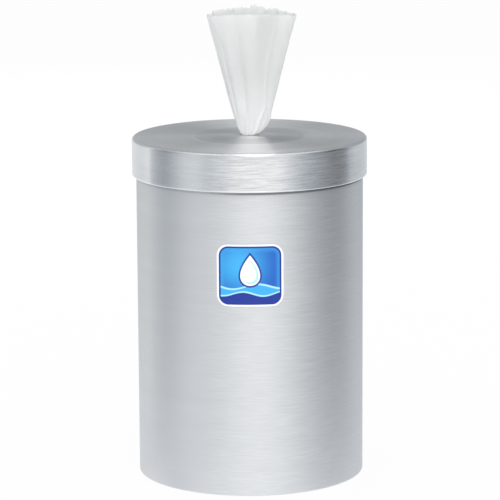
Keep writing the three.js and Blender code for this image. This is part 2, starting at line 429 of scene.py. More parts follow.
def brushed_steel(name, tint, rough, streaks, stretch, shade=None, groove_contrast=None, dull=None):
    """Steel with grooves f, m and b, which are the fine, middle and broad noise less a half.

    tone = (1 + streaks * wear * m + broad streaks * streaks * b) * (1 - shade)
    roughness = rough + middle roughness * m + fine roughness * f + dull
    Shade is painted shade or, where it is negative, painted highlight, and groove contrast is
    partly painted light. Shade, groove contrast and dull are functions of tree, x, y, z and radius.
    """
    material, tree = principled(
        name, Metallic=1.0, Anisotropic=stretch, Anisotropic_Rotation=QUARTER_TURN,
    )
    x, y, z = tree.xyz(tree.node("ShaderNodeTexCoord", output="Object"))
    radius = tree.math("SQRT", x * x + y * y)
    fine, middle, broad = [grooves(tree, x, y, radius + z, *width) for width in GROOVES]
    # Groove contrast is partly painted light on the grooves, and shade is painted shade or
    # highlight.
    strong = groove_contrast(tree, x, y, z, radius) if groove_contrast else 1
    tone = 1 + streaks * strong * (middle - 0.5) + BROAD_STREAKS * streaks * (broad - 0.5)
    if shade:
        tone = tone * (1 - shade(tree, x, y, z, radius))
    roughness = rough + MIDDLE_ROUGHNESS * (middle - 0.5) + FINE_ROUGHNESS * (fine - 0.5)
    if dull:
        roughness = roughness + dull(tree, x, y, z, radius)
    normal = tree.node("ShaderNodeBump", {
        "Strength": GROOVE_BUMP, "Distance": GROOVE_DEPTH, "Height": fine * FINE_HEIGHT + middle,
    })
    tree.feed({
        "Base Color": tree.vector(*[tone * part for part in tint]),
        "Roughness": roughness,
        "Normal": normal,
    })
    return material


print(f"{len(GROOVES)} widths of groove")

# %% [markdown]
# Some light and shade is painted into the steel's tone. A painted shadow lies on the body under
# the hem of the lid, a thin dark line that fades downwards, and the hem's own lip has a painted
# highlight. The boss is painted a little darker than the ring round it, a painted shade, and the
# whole top is brushed more roughly than the skirt. The grooves' tone is painted faint on the left
# and crisp from the middle to the right, where the light crosses them: painted light on the
# grooves. Each mark is a mask worked out from the place on the object.

# %% Painted shadow and painted groove light on the body
# Painted shadow under the lid's hem: its line, its fade, where it begins under the hem, its
# strength at left and right, and its tail.
HEM_SHADOW_LINE = (1.8 * MM, 3.0 * MM)
HEM_SHADOW_FADE = 7.0 * MM
HEM_SHADOW_COVERED = (-2 * MM, -1 * MM)
HEM_SHADOW_LEFT = 0.18
HEM_SHADOW_RIGHT = 0.62
HEM_SHADOW_SIDES = (-45 * MM, 0)
HEM_SHADOW_TAIL = 0.25


def hem_painted_shadow(tree, x, y, z, radius):
    """A painted shadow: a thin dark line under the hem that fades downwards, and is faint on the
    left.
    """
    depth = skirt_bottom - z
    line = 1 - tree.step(depth, *HEM_SHADOW_LINE)
    tail = 1 - tree.step(depth, 0, HEM_SHADOW_FADE)
    covered = tree.step(depth, *HEM_SHADOW_COVERED)
    strength = HEM_SHADOW_LEFT + (HEM_SHADOW_RIGHT - HEM_SHADOW_LEFT) * tree.step(x, *HEM_SHADOW_SIDES)
    return covered * (strength * line + (1 - line) * HEM_SHADOW_TAIL * strength * tail)


# Where the painted light on the grooves turns crisp and softer again, how much softer, and how
# faint it is on the left.
CRISP_FROM = (-50 * MM, -20 * MM)
SOFTER_FROM = (65 * MM, 90 * MM)
SOFTER = 0.4
FAINT = 0.2


def painted_groove_light(tree, x, y, z, radius):
    """Painted light on the grooves: faint on the left, crisp from the middle on, softer at the
    right edge.
    """
    crisp = tree.step(x, *CRISP_FROM) * (1 - SOFTER * tree.step(x, *SOFTER_FROM))
    return FAINT + (1 - FAINT) * crisp


# Size of the painted shadow under the hem.
print(f"painted shadow of {HEM_SHADOW_FADE / MM:.0f} mm under the hem")

# %% Painted shade, painted highlight and roughness on the lid
BOSS_RADIUS = 49.0 * MM
BOSS_EDGE = 0.4 * MM
# Painted shade on the boss, and a painted highlight on the hem's lip.
BOSS_SHADE = 0.17
BOSS_MIDDLE = (16 * MM, 30 * MM)
BOSS_MIDDLE_SHARE = 0.3
HEM_PAINTED_HIGHLIGHT = 0.2
HEM_HIGHLIGHT_RISE = (1.2 * MM, 1.8 * MM)


def lid_painted_shade_and_highlight(tree, x, y, z, radius):
    """Painted shade and highlight: the boss is a little darker than the ring round it, the hem's
    lip brighter.
    """
    inside = 1 - tree.step(radius, BOSS_RADIUS - BOSS_EDGE, BOSS_RADIUS + BOSS_EDGE)
    share = BOSS_MIDDLE_SHARE + (1 - BOSS_MIDDLE_SHARE) * tree.step(radius, *BOSS_MIDDLE)
    lip = 1 - tree.step(z - skirt_bottom, *HEM_HIGHLIGHT_RISE)
    return BOSS_SHADE * inside * share - HEM_PAINTED_HIGHLIGHT * lip


# How far under the boss the top begins and is full, and how far from the edge its duller part ends.
TOP_FROM = 5 * MM
TOP_FULL = 3 * MM
DULL_FROM = 4 * MM
DULL_TO = 2 * MM
TOP_CALM = 0.65
TOP_DULL = 0.07


def on_top(tree, z):
    """1 on the top of the lid and 0 on its skirt."""
    return tree.step(z, boss_top - TOP_FROM, boss_top - TOP_FULL)


def lid_groove_contrast(tree, x, y, z, radius):
    """Painted light on the grooves, which also show more on the skirt than on the top."""
    return painted_groove_light(tree, x, y, z, radius) * (1 - TOP_CALM * on_top(tree, z))


def lid_dull(tree, x, y, z, radius):
    """The top is brushed more roughly, apart from its edge."""
    edge = tree.step(radius, lid_radius - DULL_FROM, lid_radius - DULL_TO)
    return TOP_DULL * on_top(tree, z) * (1 - edge)


print(f"boss {2 * BOSS_RADIUS / MM:.0f} mm across")

# %% [markdown]
# The three steels differ in how rough they are, how strong their streaks are, and how far a
# highlight stretches. The lid is the shiniest, the body is brushed more coarsely, and the inner
# parts are plain.

# %% Three steels
LID_TINT = (0.735, 0.745, 0.75)
BODY_TINT = (0.772, 0.782, 0.787)
PLAIN_TINT = (0.62, 0.63, 0.64)

# The body gets the painted shadow under the hem and painted light on its grooves, the lid its
# painted shade, highlight and groove light.
body_steel = brushed_steel(
    "body_steel", BODY_TINT, rough=0.55, streaks=0.32, stretch=0.68,
    shade=hem_painted_shadow, groove_contrast=painted_groove_light,
)
lid_steel = brushed_steel(
    "lid_steel", LID_TINT, rough=0.27, streaks=1.0, stretch=0.92,
    shade=lid_painted_shade_and_highlight, groove_contrast=lid_groove_contrast, dull=lid_dull,
)
plain_steel = brushed_steel("plain_steel", PLAIN_TINT, rough=0.45, streaks=0.12, stretch=0.5)
print("steels", body_steel.name, lid_steel.name, plain_steel.name)

# %% [markdown]
# ## Turned pieces
#
# Nearly everything here is round: spun, drawn, moulded or wound about one axis. Such a piece is
# an outline carried round that axis. The outline is given by its corners, each with the radius of
# its rounding, and long straight runs are split, so that smooth shading stays true beside an edge.

# %% Rounded outlines
CORNER_STEPS = 6
EDGE_SUPPORT = 0.3 * MM


def rounded_outline(corners, longest=6 * MM, closed=True):
    """Points of an outline from corners (x, y, rounding), which go round against the clock.

    Each corner becomes an arc that touches both of its sides. Its two ends lie at a distance of
    rounding / tan(half the inner angle) from the corner, and its centre lies between the sides.
    Straight runs are split into pieces no longer than `longest`.
    """
    spots = np.array([corner[:2] for corner in corners], float)
    turns = np.array([corner[2] for corner in corners], float)
    ahead = np.roll(spots, -1, axis=0) - spots
    ahead /= np.linalg.norm(ahead, axis=1)[:, None]
    behind = -np.roll(ahead, 1, axis=0)
    inner = np.arccos(np.clip((ahead * behind).sum(1), -1, 1))
    reach = turns / np.tan(inner / 2)
    points = []
    for i, spot in enumerate(spots):
        start, end = spot + behind[i] * reach[i], spot + ahead[i] * reach[i]
        if turns[i] > 0:
            share = np.linspace(0, 1, CORNER_STEPS + 1)[:, None]
            bisector = behind[i] + ahead[i]
            centre = spot + bisector / np.linalg.norm(bisector) * turns[i] / math.sin(inner[i] / 2)
            a, b = start - centre, end - centre
            sweep = math.pi - inner[i]
            arc = (np.sin((1 - share) * sweep) * a + np.sin(share * sweep) * b) / math.sin(sweep)
            points.extend(centre + arc)
        else:
            points.append(spot)
        if not closed and i == len(spots) - 1:
            break
        following = (i + 1) % len(spots)
        run_end = spots[following] + behind[following] * reach[following]
        length = np.linalg.norm(run_end - end)
        if length > 4 * EDGE_SUPPORT:
            count = max(1, math.ceil(length / longest))
            stations = np.linspace(0, length, count + 1)[1:-1]
            stations = np.concatenate([[EDGE_SUPPORT], stations, [length - EDGE_SUPPORT]])
            points.extend(end + np.sort(stations)[:, None] * ahead[i])
    return np.array(points)


print(f"{CORNER_STEPS} steps to a corner")

# %% [markdown]
# A surface is a grid of points, and each four neighbours make a face. Where the grid closes on
# itself, its last row or column is joined to its first. Where a row shrinks to one spot, as on the
# axis, its points are merged into one.

# %% Turned pieces
AROUND = 256
SAME_SPOT = 0.001 * MM


def close_poles(mesh):
    """Merges the points of a row that lie on one spot, as on the axis of a turned piece."""
    work = bmesh.new()
    work.from_mesh(mesh)
    bmesh.ops.remove_doubles(work, verts=work.verts, dist=SAME_SPOT)
    work.to_mesh(mesh)
    work.free()


def grid_mesh(name, points, wrap_rows, wrap_columns, material):
    """A mesh from a grid of points, rows by columns by 3, whose ends may join."""
    rows, columns = points.shape[:2]
    index = np.arange(rows * columns).reshape(rows, columns)
    row = index if wrap_rows else index[:-1]
    up = np.roll(index, -1, axis=0)[:len(row)]
    if wrap_columns:
        right, up_right = np.roll(row, -1, axis=1), np.roll(up, -1, axis=1)
    else:
        row, up, right, up_right = row[:, :-1], up[:, :-1], row[:, 1:], up[:, 1:]
    faces = np.stack([row, right, up_right, up], axis=-1).reshape(-1, 4)
    mesh = bpy.data.meshes.new(name)
    mesh.from_pydata(points.reshape(-1, 3), [], faces.tolist())
    close_poles(mesh)
    mesh.shade_smooth()
    mesh.materials.append(material)
    piece = bpy.data.objects.new(name, mesh)
    bpy.context.scene.collection.objects.link(piece)
    return piece


def turned(name, outline, material, around=AROUND, centre=(0.0, 0.0), closed=True):
    """Outline points (r, z) carried round the axis at angles a: x = r cos a, y = r sin a."""
    angles = np.linspace(0, 2 * math.pi, around, endpoint=False)
    radius, height = outline[:, :1], outline[:, 1:]
    points = np.stack([
        centre[0] + radius * np.cos(angles),
        centre[1] + radius * np.sin(angles),
        height + 0 * angles,
    ], axis=-1)
    piece = grid_mesh(name, points, closed, True, material)
    print(f"{name}: {len(outline)} outline points, {2 * len(outline) * around} triangles")
    return piece


def stand_for(piece, node, body):
    """The piece takes the place of a solid, which is hidden, and moves with its body."""
    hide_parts(node)
    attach(piece, body)


print(f"{AROUND} columns round the axis")

# %% [markdown]
# ## Canister body
#
# The body is a tube of thin sheet. Its top edge is rolled inwards into a bead, which keeps the
# rim round and safe to touch. Its bottom edge is turned in as a narrow lip that carries the base.

# %% Canister body
SHEET = 1.0 * MM
CUT_EDGE = 0.3 * MM
INNER_BEND = 0.4 * MM
RIM_BEAD = 1.5 * MM
BEAD_BEND = 1.3 * MM
BEAD_FOOT_BEND = 0.8 * MM
LIP_WIDTH = 9.5 * MM
LIP_BEND = 1.4 * MM


def canister_body():
    """The outline goes along the lip, up the outside, round the bead and down the inside."""
    bottom = body_low[2]
    bead_inner = body_radius - 2 * RIM_BEAD
    outline = rounded_outline([
        (body_radius - LIP_WIDTH, bottom, CUT_EDGE),
        (body_radius, bottom, LIP_BEND),
        (body_radius, rim_top, BEAD_BEND),
        (bead_inner, rim_top, BEAD_BEND),
        (bead_inner, rim_top - 2 * RIM_BEAD, BEAD_FOOT_BEND),
        (body_radius - SHEET, rim_top - 2 * RIM_BEAD, INNER_BEND),
        (body_radius - SHEET, bottom + SHEET, INNER_BEND),
        (body_radius - LIP_WIDTH, bottom + SHEET, CUT_EDGE),
    ])
    return turned("canister_body", outline, body_steel)


stand_for(canister_body(), "body_shell", "canister")

# %% [markdown]
# ## Lid
#
# The lid is one drawn sheet: a skirt that slips over the body, a rounded edge, a flat ring and a
# low raised boss round the hole. The lower edge of the skirt is hemmed inwards. The hole's edge is
# turned down into a short collar.

# %% Lid
LID_EDGE = 2.4 * MM
HEM_GAP = 0.5 * MM
HEM_HEIGHT = 2.2 * MM
HEM_BEND = 0.9 * MM
HEM_INNER_BEND = 0.6 * MM
BOSS_RISE = 1.3 * MM
BOSS_TOP_RADIUS = 24.0 * MM
BOSS_BEND = 12.0 * MM
HOLE_RADIUS = 8.0 * MM
HOLE_BEND = 0.9 * MM
COLLAR_DEPTH = 6.0 * MM

lid_top = boss_top - BOSS_RISE


def lid_shell():
    """The outline goes up the skirt, over the top to the collar, and back inside the sheet."""
    inside = lid_radius - SHEET
    hem_inner = body_radius + HEM_GAP
    collar_bottom = boss_top - COLLAR_DEPTH
    outline = rounded_outline([
        (hem_inner, skirt_bottom, HEM_INNER_BEND),
        (lid_radius, skirt_bottom, HEM_BEND),
        (lid_radius, lid_top, LID_EDGE),
        (BOSS_RADIUS, lid_top, BOSS_BEND),
        (BOSS_TOP_RADIUS, boss_top, BOSS_BEND),
        (HOLE_RADIUS, boss_top, HOLE_BEND),
        (HOLE_RADIUS, collar_bottom, CUT_EDGE),
        (HOLE_RADIUS + SHEET, collar_bottom, CUT_EDGE),
        (HOLE_RADIUS + SHEET, boss_top - SHEET, CUT_EDGE),
        (BOSS_TOP_RADIUS, boss_top - SHEET, BOSS_BEND),
        (BOSS_RADIUS, lid_top - SHEET, BOSS_BEND),
        (inside, lid_top - SHEET, LID_EDGE - SHEET),
        (inside, skirt_bottom + HEM_HEIGHT, CUT_EDGE),
        (hem_inner, skirt_bottom + HEM_HEIGHT, HEM_INNER_BEND),
    ], longest=4 * MM)
    return turned("lid_metal", outline, lid_steel)


stand_for(lid_shell(), "lid_shell", "lid")

# %% [markdown]
# ## Rubber and foam
#
# The soft parts are matt and nearly black. Moulded rubber has a very fine grain, and the foam of
# the gasket has open pores that a Voronoi texture gives: its distance to the nearest cell centre
# is low in the middle of a pore and high on the walls between pores.

# %% Rubber and foam
# The brightness of each is dark + pale * noise.
RUBBER_DARK = 0.024
RUBBER_PALE = 0.014
RUBBER_GRAIN = 4000.0
RUBBER_CLOUDS = 60.0
FOAM_DARK = 0.015
FOAM_PALE = 0.05
FOAM_PORES = 1600.0
PORE_WALL = (0.1, 0.55)


def rubber():
    """Clouds change its tone and roughness a little, and a fine grain its surface."""
    material, tree = principled("soft_rubber", Specular_IOR_Level=0.35)
    place = tree.node("ShaderNodeTexCoord", output="Object")
    grain = tree.noise(place, RUBBER_GRAIN, 2.0)
    cloud = tree.noise(place, RUBBER_CLOUDS, 3.0)
    tone = RUBBER_DARK + RUBBER_PALE * cloud
    normal = tree.node("ShaderNodeBump", {"Strength": 0.25, "Distance": 0.0002, "Height": grain})
    tree.feed({
        "Base Color": tree.vector(tone, tone, tone * 1.05),
        "Roughness": 0.52 + 0.2 * cloud,
        "Normal": normal,
    })
    return material


def foam():
    """Dark pores between paler, smoother walls."""
    material, tree = principled("gasket_foam", Specular_IOR_Level=0.2)
    place = tree.node("ShaderNodeTexCoord", output="Object")
    pore = tree.node("ShaderNodeTexVoronoi", {"Vector": place, "Scale": FOAM_PORES})
    wall = tree.step(pore, *PORE_WALL)
    tone = FOAM_DARK + FOAM_PALE * wall
    normal = tree.node("ShaderNodeBump", {"Strength": 0.6, "Distance": 0.0003, "Height": wall})
    tree.feed({
        "Base Color": tree.vector(tone, tone, tone),
        "Roughness": 0.95 - 0.15 * wall,
        "Normal": normal,
    })
    return material


soft_rubber = rubber()
gasket_foam = foam()
print("soft parts", soft_rubber.name, gasket_foam.name)

# %% [markdown]
# ## Base pan and feet
#
# The tube is closed by a shallow pan that stands on its lip, with the flange turned up against
# the wall. Four rubber buttons under the pan lift the lip off the counter. Their outlines start
# and end on the axis, so they aren't closed on themselves, and the poles are merged.

# %% Base pan and feet
PAN_BEND = 1.4 * MM
FOOT_BEND = 0.5 * MM
FOOT_AROUND = 48


def base_pan():
    """The outline goes out along the bottom, up the flange, and back inside."""
    bottom, rim = pan_low[2], pan_high[0]
    outline = rounded_outline([
        (0, bottom, 0),
        (rim, bottom, PAN_BEND),
        (rim, pan_high[2], INNER_BEND),
        (rim - SHEET, pan_high[2], INNER_BEND),
        (rim - SHEET, bottom + SHEET, INNER_BEND),
        (0, bottom + SHEET, 0),
    ], closed=False)
    return turned("base_pan", outline, plain_steel, closed=False)


def foot(node):
    """A button that fills the box of its solid."""
    low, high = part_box(node)
    radius = (high[0] - low[0]) / 2
    outline = rounded_outline([
        (0, low[2], 0),
        (radius, low[2], FOOT_BEND),
        (radius, high[2], CUT_EDGE),
        (0, high[2], 0),
    ], longest=2 * MM, closed=False)
    centre = (low + high) / 2
    return turned(node + "_button", outline, soft_rubber, FOOT_AROUND, centre[:2], closed=False)


stand_for(base_pan(), "base_plate", "canister")
for number in range(1, 5):
    node = f"rubber_foot_{number}"
    stand_for(foot(node), node, "canister")

# %% [markdown]
# ## Under the lid
#
# A foam ring is glued under the lid, and the rim of the canister closes against it. A soft nozzle
# sits over the collar of the hole, with slits that hold the wipe so that it tears where it should.
# A steel ring clips it on. The solid nozzle already has its slits, so it only gets the rubber.

# %% Gasket, clip and nozzle
def plain_ring(name, low, high, width, rounding, material):
    """A ring of rectangular section that fills the height and the outside of a box."""
    inner = high[0] - width
    outline = rounded_outline([
        (inner, low[2], rounding),
        (high[0], low[2], rounding),
        (high[0], high[2], rounding),
        (inner, high[2], rounding),
    ], longest=2 * MM)
    return turned(name, outline, material)


GASKET_WIDTH = 6.5 * MM
GASKET_BEND = 0.6 * MM
CLIP_WALL = 1.4 * MM

gasket = plain_ring("gasket_ring", gasket_low, gasket_high, GASKET_WIDTH, GASKET_BEND, gasket_foam)
stand_for(gasket, "lid_gasket", "lid")
clip = plain_ring("clip_ring", clip_low, clip_high, CLIP_WALL, INNER_BEND, plain_steel)
stand_for(clip, "nozzle_clip", "lid")
for material_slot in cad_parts["nozzle"].material_slots:
    material_slot.material = soft_rubber

# %% [markdown]
# ## Wipe cloth
#
# A wipe is a thin nonwoven: short fibres pressed and bonded into a soft white felt. Light passes
# through it a little, which keeps its shadows pale, so the shader has some subsurface scattering.
# Fine noise stands for the fibres, and a wider one for the cloudy look of the felt. Near the neck,
# where the cloth is drawn together, it is painted whiter, a painted light, and the front near the
# mouth, where the cloth lies in one layer, is painted a little greyer, a painted shade.

# %% Wipe cloth
GATHER_FROM = boss_top + 6 * MM
GATHER_TO = boss_top + 60 * MM
MOUTH_TOP = boss_top + 105 * MM
FRONT_SIDE = (-2 * MM, 6 * MM)
CLOTH_COLOUR = (0.88, 0.888, 0.88)
CLOTH_TONE = 0.89
CLOUDS = 0.05
CLOUD_SCALE = 420.0
FIBRES = 0.03
FIBRES_ROUND = 2200
FIBRES_UP = 900
# Painted light on the drawn-together cloth near the neck, and painted shade on the front near the
# mouth.
NECK_PAINTED_LIGHT = 0.23
MOUTH_PAINTED_SHADE = 0.08


def cloth():
    """Tone = plain + clouds + fibres + painted light at the neck - painted shade on the front near
    the mouth.
    """
    material, tree = principled(
        "wipe_cloth", Subsurface_Weight=0.4, Subsurface_Radius=(1.0, 1.0, 1.0),
        Subsurface_Scale=0.0025, Specular_IOR_Level=0.25, Sheen_Weight=0.1,
    )
    place = tree.node("ShaderNodeTexCoord", output="Object")
    x, y, z = tree.xyz(place)
    stretched = tree.vector(x * FIBRES_ROUND, y * FIBRES_ROUND, z * FIBRES_UP)
    fibre = tree.noise(stretched, 1.0, 3.0, 0.65)
    cloud = tree.noise(place, CLOUD_SCALE, 3.0, 0.6)
    # Masks of the painted light near the neck and the painted shade on the front near the mouth.
    painted_light_share = (1 - tree.step(z, GATHER_FROM, GATHER_TO)) * tree.step(z, roll_high[2], GATHER_FROM)
    painted_shade_share = tree.step(z, GATHER_FROM, MOUTH_TOP) * tree.step(0 - y, *FRONT_SIDE)
    tone = CLOTH_TONE + CLOUDS * (cloud - 0.5) + FIBRES * (fibre - 0.5)
    tone = tone + NECK_PAINTED_LIGHT * painted_light_share - MOUTH_PAINTED_SHADE * painted_shade_share
    normal = tree.node("ShaderNodeBump", {
        "Strength": 0.25, "Distance": 0.0003, "Height": fibre + cloud,
    })
    tree.feed({
        "Base Color": tree.vector(*[part * tone for part in CLOTH_COLOUR]),
        "Roughness": 0.8 + 0.15 * fibre,
        "Normal": normal,
    })
    return material


wipe_cloth = cloth()
print("cloth", wipe_cloth.name)

# %% [markdown]
# ## Roll of wipes
#
# The web is wound into a roll without a tube, and it is drawn from the middle. Its sides are the
# edges of the turns. No two of them lie at the same height, so each turn is a low ridge of its own.

# %% Roll
ROLL_CORE = 20.0 * MM
ROLL_EDGE = 2.5 * MM
ROLL_TURNS = 84
TURN_GROOVE = 0.5 * MM
TURN_UNEVEN = 0.35 * MM
ROLL_SEED = 5


def wipes_roll():
    """Each end goes over a round edge and then up and down once for each turn, down to the core."""
    radius = roll_high[0]
    flat = radius - ROLL_EDGE
    corner = np.radians(np.linspace(0, 90, CORNER_STEPS + 1)[:-1])
    side_radius = flat + ROLL_EDGE * np.cos(corner)
    edge_drop = ROLL_EDGE * (1 - np.sin(corner))
    rng = np.random.default_rng(ROLL_SEED)
    marks = np.linspace(flat, ROLL_CORE, 2 * ROLL_TURNS + 1)
    drop = TURN_UNEVEN * rng.random(len(marks))
    drop[1::2] += TURN_GROOVE
    end_radius = np.concatenate([side_radius, marks])
    end_drop = np.concatenate([edge_drop, drop])
    top = np.stack([end_radius, roll_high[2] - end_drop], axis=1)
    bottom = np.stack([end_radius, roll_low[2] + end_drop], axis=1)[::-1]
    return turned("roll_of_wipes", np.concatenate([bottom, top]), wipe_cloth)


stand_for(wipes_roll(), "wipes_roll", "canister")

# %% [markdown]
# ## The wipe
#
# One wipe of the web is pulled up through the nozzle and stands out of the lid. The web is eight
# inches wide, so it has to be gathered to pass the slits: below it is a tight strand, and above it
# opens into a funnel. A simulation would have to push the cloth through the slits. The shape is
# simple enough to write down instead: a sheet that goes once round, overlaps itself on the right
# of the front, and folds inwards deeper and deeper towards the neck, where it has to lose width.

# %% Shape of the gather
STRAND_RADIUS = 5.5 * MM
NECK_HALF_WIDTH = 7.0 * MM
NECK_HALF_DEPTH = 7.2 * MM
NECK_DROP = 5.5 * MM
WIPE_RISE = 110.5 * MM
MOUTH_WIDTH = 79.6 * MM
MOUTH_DEPTH = 33.0 * MM
SHOULDER_WIDTH = 25.4 * MM
SHOULDER_RISE = 7.5 * MM
SHOULDER_POWER = 1.15
DEPTH_POWER = 0.7
SWELL = 1.3 * MM
SWELL_SHIFT = 1.1 * MM
SWELL_COMES = (0, 3 * MM)
SWELL_GOES = (8 * MM, 24 * MM)
WIPE_LEAN = 2.4 * MM
LEAN_RISE = 15.0 * MM
BEND_TOP = 221.4 * MM
BEND_LENGTH = 55.0 * MM
STRAND_SHIFT = 14.2 * MM


def smooth(value, low, high):
    """0 below low, 1 above high and 3 s^2 - 2 s^3 of the share s between them."""
    share = np.clip((value - low) / (high - low), 0, 1)
    return share * share * (3 - 2 * share)


def neck_swell(rise):
    """Where the cloth spreads as soon as it is out of the hole, mostly to the right."""
    return smooth(rise, *SWELL_COMES) * (1 - smooth(rise, *SWELL_GOES))


def gather_size(rise):
    """Half width and half depth of the gather at a height above the lid.

    The width grows in a straight line from the shoulder to the mouth, and below the shoulder it
    falls to the neck as 1 - exp(-(rise / shoulder rise) ^ shoulder power). The neck fills most of
    the hole and swells just above it. The depth grows as rise ^ depth power. Under the lid both
    shrink to the strand.
    """
    up = np.maximum(rise, 0)
    share = up / WIPE_RISE
    opening = 1 - np.exp(-((up / SHOULDER_RISE) ** SHOULDER_POWER))
    width = (SHOULDER_WIDTH + (MOUTH_WIDTH - SHOULDER_WIDTH) * share) / 2
    width = NECK_HALF_WIDTH + (width - NECK_HALF_WIDTH) * opening + SWELL * neck_swell(rise)
    depth = NECK_HALF_DEPTH + (MOUTH_DEPTH / 2 - NECK_HALF_DEPTH) * share ** DEPTH_POWER
    loose = smooth(rise, -NECK_DROP, 0)
    return STRAND_RADIUS + (np.stack([width, depth]) - STRAND_RADIUS) * loose


def gather_middle(height):
    """How far the middle of the gather lies to the right: a lean above, the roll's side below."""
    rise = height - boss_top
    lean = WIPE_LEAN * smooth(rise, 0, LEAN_RISE) + SWELL_SHIFT * neck_swell(rise)
    return lean + STRAND_SHIFT * smooth(BEND_TOP - height, 0, BEND_LENGTH)


print(f"the gather opens from {2 * NECK_HALF_WIDTH / MM:.0f} to {MOUTH_WIDTH / MM:.0f} mm")

# %% [markdown]
# A fold is a dent at one angle, shaped like a bell. The front is kept nearly smooth, so the deep
# folds are on the sides and the back. Close to the neck a row of pleats joins them. All of them
# multiply the radius, so that they can meet at the neck without crossing.

# %% Folds
# Each fold has its angle, its half width in degrees, and its depth as a share at mouth and neck.
FOLDS = [
    (30, 5.0, 0.04, 0.76), (49, 4.5, 0.06, 0.78), (70, 4.5, 0.10, 0.80), (97, 5.0, 0.07, 0.80),
    (118, 4.5, 0.09, 0.80), (137, 4.5, 0.05, 0.80), (155, 5.0, 0.03, 0.76), (216, 3.5, 0.0, 0.10),
]
FOLD_RISE = 100.0 * MM
PLEATS = 16
STRAND_PLEATS = 0.74
FRONT_PLEATS = 0.07
PLEAT_RISE = 30.0 * MM
# The front, where the pleats are shallow: -sin of the angle, and the height above the hole.
FRONT_TURN = (-0.4, 0.0)
FRONT_RISE = (-6 * MM, 1 * MM)


def wrapped(angle):
    """An angle in degrees brought to between -180 and 180."""
    return (angle + 180) % 360 - 180


def bell(angle, centre, half_width):
    """exp(-(distance / half width)^2)"""
    return np.exp(-(wrapped(angle - centre) / half_width) ** 2)


def fold_share(angle, rise):
    """What the folds leave of the radius, as a product of 1 - depth * bell over all folds.

    The pleats are waves 0.5 - 0.5 cos(pleats * angle + uneven), spaced a little unevenly.
    """
    closed = 1 - smooth(rise, 0, FOLD_RISE)
    left = np.ones(np.broadcast(angle, rise).shape)
    for centre, half_width, at_mouth, at_neck in FOLDS:
        left *= 1 - (at_mouth + (at_neck - at_mouth) * closed) * bell(angle, centre, half_width)
    uneven = 25 * np.sin(np.radians(2 * angle)) + 20 * np.sin(np.radians(3 * angle))
    pleats = 0.5 - 0.5 * np.cos(np.radians(PLEATS * angle + uneven))
    front = smooth(-np.sin(np.radians(angle)), *FRONT_TURN) * smooth(rise, *FRONT_RISE)
    depth = STRAND_PLEATS + (FRONT_PLEATS - STRAND_PLEATS) * front
    return left * (1 - depth * (1 - smooth(rise, 0, PLEAT_RISE)) * pleats)


print(f"{len(FOLDS)} folds and {PLEATS} pleats")

# %% [markdown]
# On the front, one broad valley lies to the left of the middle, with a soft ridge beside it, and
# the cloth bulges a little towards its free edge. The upper rim was torn along a perforation, so it
# is ragged, with one loose tuft at the back.

# %% Front and rim of the wipe
# The valley, the ridge and the bulge on the front: angle and half width in degrees, how far out in
# millimetres, and at which heights in millimetres each comes and goes, and how much then is lost.
RELIEF = [
    dict(centre=-110, half_width=9, out=-3.2, comes=(14, 34), goes=(85, 110), lost=0.7, drift=-4),
    dict(centre=-128, half_width=8, out=0.9, comes=(8, 30), goes=(80, 105), lost=1.0, drift=0),
    dict(centre=-82, half_width=13, out=0.5, comes=(6, 40), goes=(85, 110), lost=0.0, drift=0),
]
DRIFT_RISE = (30, 90)
# Random waves: how many there are along the sheet, and their size.
TEETH = ((61, 97, 143), 0.8 * MM)
RAGS = ((9, 17), 0.5 * MM)
# The tuft and the flap beside it: angles where each begins, is full, falls off and ends, and size.
TABS = [(82.5, 84, 90.5, 91.5, 2.8 * MM), (68, 74, 82.5, 84, 1.2 * MM)]
TORN_SHARE = (0.93, 1.0)
RIM_TILT = 1.25 * MM
RIM_SIDE_DROP = 3.7 * MM


def ragged(places, rng, waves, size):
    """A sum of sines with random phases, of about the given size."""
    total = np.zeros_like(places)
    for count in waves:
        total += np.sin(2 * math.pi * count * places + rng.uniform(0, 2 * math.pi)) / len(waves)
    return size * total


def front_relief(angle, rise):
    """The sum of out * bell * comes * (1 - lost * goes) over the relief, in metres outwards."""
    up = rise / MM
    total = 0
    for form in RELIEF:
        centre = form["centre"] + form["drift"] * smooth(up, *DRIFT_RISE)
        strength = smooth(up, *form["comes"]) * (1 - form["lost"] * smooth(up, *form["goes"]))
        total = total + form["out"] * bell(angle, centre, form["half_width"]) * strength
    return total * MM


def torn_rim(angle, along, rng):
    """Height of the rim over its plane: teeth of the perforation, rags, tuft and flap."""
    rim = ragged(along, rng, *TEETH) + ragged(along, rng, *RAGS)
    turn = wrapped(angle)
    for begins, full, falls, ends, size in TABS:
        rim = rim + size * (smooth(turn, begins, full) - smooth(turn, falls, ends))
    return rim


def rim_lift(angle, share, along, rng):
    """Tilt of the rim times share^2, with low sides that are sharper at the back left, plus the
    torn edge. Share goes from 0 at the lid to 1 at the rim."""
    turn = np.radians(angle)
    left = smooth(-np.cos(turn), 0, 0.3) * smooth(np.sin(turn), 0, 0.3)
    side_drop = RIM_SIDE_DROP * np.abs(np.cos(turn)) ** (2 + 3 * left)
    tilt = RIM_TILT * np.sin(turn) - side_drop
    return share ** 2 * tilt + smooth(share, *TORN_SHARE) * torn_rim(angle, along, rng)


print(f"{len(RELIEF)} forms on the front, {len(TABS)} tabs on the rim")

# %% [markdown]
# The free edge of the sheet runs down the front in a flat S. The end below it stops a little
# further to the left, so the cloth is double there, and the outer layer lies a millimetre proud.
# The back hangs in soft waves, and all of the cloth is a little crumpled towards the rim.

# %% Layers and waves of the wipe
LAYER_STEP = 1.3 * MM
# In degrees: where past the free edge's angle the covered end comes out, and the curl's width.
INNER_END = (-4, 26)
CURL_WIDTH = 6
CURL_RISE = 8 * MM
